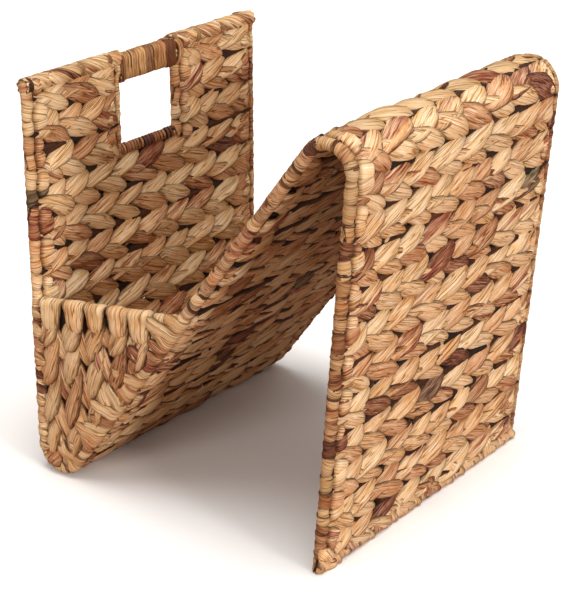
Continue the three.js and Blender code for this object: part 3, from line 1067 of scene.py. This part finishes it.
def short_wraps(chance, number):
    """Wraps side by side across the width, on the slant"""
    strands = []
    place = -SIDE_Y + 4
    while place < SIDE_Y - 8:
        run = chance.uniform(17, 24)
        strands.append(wrap_strand(
            chance, number + len(strands), place + run / 2, 0.0, 1, tail_front=chance.uniform(9, 20),
            tail_back=chance.uniform(9, 20), lean=chance.uniform(0.5, 0.95), size=run / WRAP_PITCH))
        place += run
    return strands


def top_windings(chance, number, start, end):
    """Long slanted windings along a stretch of the top rod, with a few ties; sizes in mm"""
    strands = []
    place = start
    while place < end - 8:
        run = min(chance.uniform(26, 52), end - place)
        for turn in range(TOP_STALKS):
            angle = turn * math.tau / TOP_STALKS + chance.uniform(-0.15, 0.15)
            strands.append(winding_strand(
                chance, number + len(strands), place - 4, place + run + 4, reach=6.4, pitch=75.0,
                turn=angle, dye=0.3, size=chance.uniform(0.9, 1.2)))
        strands.append(tie_strand(chance, number + len(strands), place, 2.2, reach=8.0, pitch=1.9,
                                  size=0.3, dye=1.3))
        place += run
    return strands


def make_top_and_foot_wraps(settings):
    """Wraps of the first and last rows round the top rod and the foot rod"""
    chance = draws(settings, "top_and_foot")
    guide = straight_guide("top_guide", (BACK_X, 0, BACK_TOP + 3), (0, 1, 0))
    strands = top_windings(chance, FIRST["near_top_wraps"], -SIDE_Y, -HANDLE_HALF)
    strands += top_windings(chance, FIRST["far_top_wraps"], HANDLE_HALF, SIDE_Y)
    grow("top_wraps", "Windings", "hyacinth_stalks", strands, guide, Across=UP, Rings=40, Points_round=10,
         Stalk_width=0.0085, Stalk_thickness=0.003)
    guide = straight_guide("foot_guide", (BACK_X + FOOT[0], 0, FOOT[1]), (0, 1, 0))
    grow("foot_wraps", "Edge wraps", "hyacinth_stalks", short_wraps(chance, FIRST["foot_wraps"]), guide,
         Across=(math.cos(LEG), 0.0, math.sin(LEG)), Rings=28, Points_round=14, Rod_reach=0.0046,
         Stalk_width=0.021, Stalk_thickness=0.0034, Groove=0.0)


def handle_bundle(chance):
    """Stalks laid side by side round the handle's middle"""
    return [winding_strand(chance, FIRST["handle_bundle"] + count, -HANDLE_HALF - 4, HANDLE_HALF + 4,
                           reach=4.5, pitch=400, turn=count * math.tau / BUNDLE_STALKS, reach_side=8.0)
            for count in range(BUNDLE_STALKS)]


def close_windings(chance, number, start, end, runs, widths, **same):
    """Strands wound one after the other from start to end; sizes in mm"""
    strands = []
    place = start
    while place < end:
        run = chance.uniform(*runs)
        strands.append(winding_strand(chance, number + len(strands), place, place + run,
                                      size=chance.uniform(*widths), **same))
        place += run
    return strands


def make_handle(settings):
    """The handle's bundle and windings, and the twine on the sill"""
    chance = draws(settings, "handle")
    guide = straight_guide("handle_guide", (BACK_X, 0, HANDLE_Z), (0, 1, 0))
    grow("handle_bundle", "Windings", "hyacinth_stalks", handle_bundle(chance), guide, "handle_bar",
         slot="handle_padding", Across=UP, Rings=30, Points_round=10, Stalk_width=0.007,
         Stalk_thickness=0.005)
    wound = close_windings(chance, FIRST["handle_windings"], -HANDLE_HALF + 4, HANDLE_HALF - 14, (7, 15),
                           (0.85, 1.15), reach=12.4, pitch=3.3, reach_up=8.0, square=1.0)
    grow("handle_windings", "Windings", "raffia_strands", wound, guide, "handle_wrap", slot="raffia",
         Across=UP, Rings=96, Points_round=8, Slant=-0.7, Stalk_width=0.0046, Stalk_thickness=0.0026)
    collars = {
        "handle_near_collar": (-HANDLE_HALF + 1, -HANDLE_HALF + 5, -0.2, 0.8),
        "handle_far_collar": (HANDLE_HALF - 14, HANDLE_HALF, -0.7, 1.2),
        "handle_far_cross": (HANDLE_HALF - 9, HANDLE_HALF - 4, 1.2, 0.0),
    }
    for name, (start, end, slant, dye) in collars.items():
        collar = winding_strand(chance, FIRST["collars"], start, end, reach=13.0, pitch=3.6, reach_up=8.6,
                                square=1.0, dye=dye)
        grow(name, "Windings", "sill_twine", [collar], guide, slot="raffia", Across=UP, Rings=120,
             Points_round=8, Slant=slant, Stalk_width=0.005, Stalk_thickness=0.0028)
    guide = straight_guide("sill_guide", (BACK_X, 0, SILL_Z), (0, 1, 0))
    twine = close_windings(chance, FIRST["sill_windings"], -HANDLE_HALF, HANDLE_HALF, (8, 16), (0.85, 1.2),
                           reach=4.6, pitch=4.6)
    grow("sill_windings", "Windings", "sill_twine", twine, guide, "sill_wrap", slot="twine", Across=UP,
         Rings=70, Points_round=8, Slant=-0.5, Stalk_width=0.004, Stalk_thickness=0.003)


def rim_height(rim, x):
    """Height of a pocket end's rim at a place between the back and the slope, mm"""
    return rim[0] + (rim[1] - rim[0]) * x / slope_x(rim[1])


def gusset_columns(chance, number, rim, lay):
    """Upright rows of leaves of one pocket end, and the next free strand number"""
    strands = []
    x = COLUMN_PITCH * 0.85
    hand = 1
    while x < slope_x(rim[1]) - RIM_INSET:
        size, pitch_share = WIDE_COLUMN if hand > 0 else THIN_COLUMN
        top = rim_height(rim, x) - 6
        bottom = floor_line(x) + 4
        if top - bottom > 20:
            column = twine_leaves(chance, number, x, bottom, top, -hand, lay, dye=0.25, size=size)
            ends = (bottom + top) * MM
            strands += [dict(leaf, **{"from": ends - leaf["from"], "to": ends - leaf["to"]})
                        for leaf in column]
        x += COLUMN_PITCH * pitch_share
        hand = -hand
        number += ROW_NUMBERS
    return strands, number


def gusset_core(number, rim):
    """Flat stalks inside one pocket end, dark with painted shade"""
    strands = []
    x = COLUMN_PITCH * 0.6
    while x < slope_x(rim[1]) - RIM_INSET:
        top = rim_height(rim, x) - 4
        bottom = floor_line(x) + 3
        if top - bottom > SHORTEST_LEAF:
            strands.append(inner_strand(x, bottom, top, number + len(strands), 1.0))
        x += COLUMN_PITCH * 0.55
    return strands


def gusset_loops(chance, number, rim, length):
    """Loops of one pocket end over its rim rod, narrow where they meet the slope"""
    strands = []
    place = 6.0
    while place < length - 14:
        narrow = place > length - 45
        width = WRAP_PITCH if narrow else chance.uniform(29, 34)
        room = max(5.0, rim[0] - floor_line(place + width / 2) - 6)
        strands.append(wrap_strand(
            chance, number + len(strands), place + width / 2, 0.0, 1, taper=0.5, dye=0.3,
            tail_front=min(chance.uniform(24, 34), room), tail_back=min(chance.uniform(24, 34), room),
            lean=chance.uniform(-0.05, 0.05), size=width / WRAP_PITCH))
        place += width * (0.65 if narrow else 0.97)
    return strands


def make_gussets(settings):
    """The pocket's two ends: twined columns and the loops over their rims"""
    chance = draws(settings, "gussets")
    for node, side, rim in (("near_gusset", -1, RIM_NEAR), ("far_gusset", 1, RIM_FAR)):
        guide = straight_guide(node + "_guide", (BACK_X, side * SIDE_Y, 0), (1, 0, 0))
        columns, number = gusset_columns(chance, FIRST[node], rim, settings.lay_length / MM * 1.08)
        grow(node + "_columns", "Twined rows", "hyacinth_stalks", columns, guide, node, Across=UP, Rings=24,
             Points_round=14, Sway=settings.sway, Rise=settings.rise,
             Stalk_width=settings.stalk_width * 0.94, Stalk_thickness=settings.stalk_thickness * 1.15)
        core = gusset_core(number + FIRST["gusset_core"], rim)
        grow(node + "_core", "Inner stalks", "inner_pith", core, guide, Across=UP, Rings=16,
             Points_round=8, Stalk_width=0.012, Stalk_thickness=0.003)
        reach, climb = slope_x(rim[1]), rim[1] - rim[0]
        length = math.hypot(reach, climb)
        level, rise = reach / length, climb / length
        guide = straight_guide(node + "_rim", (BACK_X, side * SIDE_Y, rim[0]), (level, 0, rise))
        loops = gusset_loops(chance, number + FIRST["gusset_loops"], rim, length)
        grow(node + "_loops", "Edge wraps", "hyacinth_stalks", loops, guide, Across=(-rise, 0.0, level),
             Rings=32, Points_round=16, Rod_reach=0.005, Stalk_width=0.021, Stalk_thickness=0.0035,
             Groove=0.0, Ridge_count=4.0)


LACQUER = ((0.05, 0.035, 0.025, 1.0), (0.13, 0.1, 0.08, 1.0))


def finish_rods():
    """Gives the CAD frame's rods their lacquer"""
    material = bpy.data.materials.new("rod_lacquer")
    material.use_nodes = True
    shader = material.node_tree.nodes["Principled BSDF"]
    m = Maker(material.node_tree)
    spots = m.fed("ShaderNodeTexNoise", {
        "Vector": m.node("ShaderNodeTexCoord").outputs["Object"], "Scale": 350.0,
    })
    ramp = m.node("ShaderNodeValToRGB", spots.outputs[0])
    for element, colour in zip(ramp.color_ramp.elements, LACQUER):
        element.color = colour
    m.put(shader.inputs["Base Color"], ramp.outputs[0])
    shader.inputs["Roughness"].default_value = 0.45
    for name, node in frame["nodes"].items():
        if name.endswith(("_rod", "_stake")):
            node.data.materials.clear()
            node.data.materials.append(material)


# Stage

CAMERA_PLACE = (1.0081, -1.3476, 0.8745)
CAMERA_YAW = math.radians(126.913)
CAMERA_PITCH = math.radians(-22.497)
CAMERA_LENS = 108.1
FLOOR_BOUNCE = (0.38, 0.23, 0.16, 1.0)  # what the basket gets back from the floor
# Energy, spread in degrees and heading of each lamp
LAMPS = {
    "top_light": (2.05, 36, (-0.16, 0.06, -1.0)),
    "side_light": (1.65, 12, (-0.95, 0.2, -0.2)),
    "front_light": (0.88, 20, (0.05, 0.95, -0.3)),
    "fill_light": (0.4, 16, (-0.58, 0.8, -0.04)),
}
LAMP_COLOUR = (1.0, 0.99, 0.97)
SKY_LOW = (1.0, 0.72, 0.56, 1.0)
SKY_HIGH = (1.0, 0.97, 0.94, 1.0)
SKY_STRENGTHS = (0.3, 0.57)
SKY_FULL = 0.7  # height at which the sky has its upper colour and strength


def turned_to(heading):
    """Rotation of a camera or lamp that looks along the heading"""
    return Vector(heading).to_track_quat("-Z", "Y").to_euler()


def make_camera():
    """The camera at the photograph's angle"""
    lens = bpy.data.cameras.new("photo_camera")
    lens.sensor_fit = "AUTO"
    lens.sensor_width = 36.0
    lens.lens = CAMERA_LENS
    camera = bpy.data.objects.new("photo_camera", lens)
    camera.location = CAMERA_PLACE
    level = math.cos(CAMERA_PITCH)
    camera.rotation_euler = turned_to((math.cos(CAMERA_YAW) * level, math.sin(CAMERA_YAW) * level,
                                       math.sin(CAMERA_PITCH)))
    bpy.context.collection.objects.link(camera)
    bpy.context.scene.camera = camera


def make_floor(settings):
    """A plain pale floor"""
    half = settings.floor_size / 2
    mesh = bpy.data.meshes.new("floor")
    mesh.from_pydata([(-half, -half, 0.0), (half, -half, 0.0), (half, half, 0.0), (-half, half, 0.0)],
                     [], [(0, 1, 2, 3)])
    floor = bpy.data.objects.new("floor", mesh)
    bpy.context.collection.objects.link(floor)
    material = bpy.data.materials.new("floor_paint")
    material.use_nodes = True
    shader = material.node_tree.nodes["Principled BSDF"]
    m = Maker(material.node_tree)
    seen = m.node("ShaderNodeLightPath").outputs["Is Camera Ray"]
    paint = m.field("ShaderNodeMix", seen, FLOOR_BOUNCE, (*settings.floor_colour, 1.0), data_type="RGBA")
    m.put(shader.inputs["Base Color"], paint)
    shader.inputs["Roughness"].default_value = 0.9
    mesh.materials.append(material)


def light_lamps():
    """Soft studio light from overhead, from the leg's side and from the front, and a low fill light"""
    for name, (energy, spread, heading) in LAMPS.items():
        lamp = bpy.data.lights.new(name, "SUN")
        lamp.energy = energy
        lamp.angle = math.radians(spread)
        lamp.color = LAMP_COLOUR
        light = bpy.data.objects.new(name, lamp)
        light.rotation_euler = turned_to(heading)
        bpy.context.collection.objects.link(light)


def light_sky():
    """A warm dim sky near the floor that gets white and brighter upwards"""
    world = bpy.data.worlds.new("studio")
    world.use_nodes = True
    back = world.node_tree.nodes["Background"]
    m = Maker(world.node_tree)
    _, _, height = m.split(m.node("ShaderNodeTexCoord").outputs["Generated"])
    high = m.field("ShaderNodeMapRange", height, 0.0, SKY_FULL, 0.0, 1.0)
    m.put(back.inputs["Color"], m.field("ShaderNodeMix", high, SKY_LOW, SKY_HIGH, data_type="RGBA"))
    m.put(back.inputs["Strength"], m.field("ShaderNodeMapRange", height, 0.0, SKY_FULL, *SKY_STRENGTHS))
    bpy.context.scene.world = world
    bpy.context.scene.view_settings.view_transform = "Standard"


# Settings, operators and panel

class BasketSettings(bpy.types.PropertyGroup):
    seed: bpy.props.IntProperty(name="Seed", description="Starts the random draws", default=11, min=0)
    lay_length: bpy.props.FloatProperty(
        name="Lay length", description="Length of one full turn of two twined stalks", default=0.08,
        min=0.03, max=0.15, subtype="DISTANCE", unit="LENGTH")
    sway: bpy.props.FloatProperty(
        name="Sway", description="How far a stalk moves to each side of its row", default=0.0095,
        min=0.0, max=0.01, subtype="DISTANCE", unit="LENGTH")
    rise: bpy.props.FloatProperty(
        name="Rise", description="How far a stalk stands over and under the row's middle", default=0.0046,
        min=0.0, max=0.01, subtype="DISTANCE", unit="LENGTH")
    stalk_width: bpy.props.FloatProperty(
        name="Stalk width", description="Width of a flattened stalk", default=0.0212,
        min=0.005, max=0.03, subtype="DISTANCE", unit="LENGTH")
    stalk_thickness: bpy.props.FloatProperty(
        name="Stalk thickness", description="Thickness of a flattened stalk", default=0.0066,
        min=0.001, max=0.01, subtype="DISTANCE", unit="LENGTH")


class StageSettings(bpy.types.PropertyGroup):
    floor_size: bpy.props.FloatProperty(
        name="Floor size", description="Width and depth of the floor", default=12.0, min=1.0,
        subtype="DISTANCE", unit="LENGTH")
    floor_colour: bpy.props.FloatVectorProperty(
        name="Floor colour", description="Paint of the floor", default=(0.985, 0.985, 0.985), size=3,
        min=0.0, max=1.0, subtype="COLOR")


class BASKET_OT_stage(bpy.types.Operator):
    """Makes the camera, the floor and the studio light"""
    bl_idname = "basket.stage"
    bl_label = "Set up stage"

    def execute(self, context):
        make_camera()
        make_floor(context.scene.basket_stage)
        light_lamps()
        light_sky()
        return {"FINISHED"}


class BASKET_OT_bands(bpy.types.Operator):
    """Twines the rows of the N"""
    bl_idname = "basket.bands"
    bl_label = "Twine the rows"

    def execute(self, context):
        make_bands(context.scene.basket)
        make_inner_stalks(context.scene.basket)
        return {"FINISHED"}


class BASKET_OT_wraps(bpy.types.Operator):
    """Wraps the rows' ends round the side rods, the top rod, the foot rod and the hand hole"""
    bl_idname = "basket.wraps"
    bl_label = "Wrap the edges"

    def execute(self, context):
        make_edge_wraps(context.scene.basket)
        make_slope_windings(context.scene.basket)
        make_hems(context.scene.basket)
        make_edge_ties(context.scene.basket)
        make_top_and_foot_wraps(context.scene.basket)
        return {"FINISHED"}


class BASKET_OT_handle(bpy.types.Operator):
    """Winds the handle and the sill under it"""
    bl_idname = "basket.handle"
    bl_label = "Wind the handle"

    def execute(self, context):
        make_handle(context.scene.basket)
        return {"FINISHED"}


class BASKET_OT_gussets(bpy.types.Operator):
    """Closes the pocket's two ends"""
    bl_idname = "basket.gussets"
    bl_label = "Close the pocket's ends"

    def execute(self, context):
        make_gussets(context.scene.basket)
        return {"FINISHED"}


class BASKET_OT_rods(bpy.types.Operator):
    """Finishes the rods of the CAD frame"""
    bl_idname = "basket.rods"
    bl_label = "Finish the rods"

    def execute(self, context):
        finish_rods()
        return {"FINISHED"}


class BASKET_PT_main(bpy.types.Panel):
    bl_idname = "BASKET_PT_main"
    bl_label = "Woven magazine basket"
    bl_space_type = "VIEW_3D"
    bl_region_type = "UI"
    bl_category = "Basket"

    def draw(self, context):
        for settings in (context.scene.basket, context.scene.basket_stage):
            for label in settings.__annotations__:
                self.layout.prop(settings, label)
        for operator in OPERATORS:
            self.layout.operator(operator.bl_idname)


OPERATORS = (BASKET_OT_stage, BASKET_OT_rods, BASKET_OT_bands, BASKET_OT_wraps, BASKET_OT_handle,
             BASKET_OT_gussets)
CLASSES = (BasketSettings, StageSettings) + OPERATORS + (BASKET_PT_main,)


def register():
    for made in CLASSES:
        bpy.utils.register_class(made)
    bpy.types.Scene.basket = bpy.props.PointerProperty(type=BasketSettings)
    bpy.types.Scene.basket_stage = bpy.props.PointerProperty(type=StageSettings)


def unregister():
    del bpy.types.Scene.basket_stage
    del bpy.types.Scene.basket
    for made in reversed(CLASSES):
        bpy.utils.unregister_class(made)


def main():
    register()
    bpy.ops.basket.stage()
    bpy.ops.basket.rods()
    bpy.ops.basket.bands()
    bpy.ops.basket.wraps()
    bpy.ops.basket.handle()
    bpy.ops.basket.gussets()
    for guide in [shown for shown in bpy.data.objects if shown.type == "CURVE"]:
        bpy.data.objects.remove(guide)


if __name__ == "__main__":
    main()
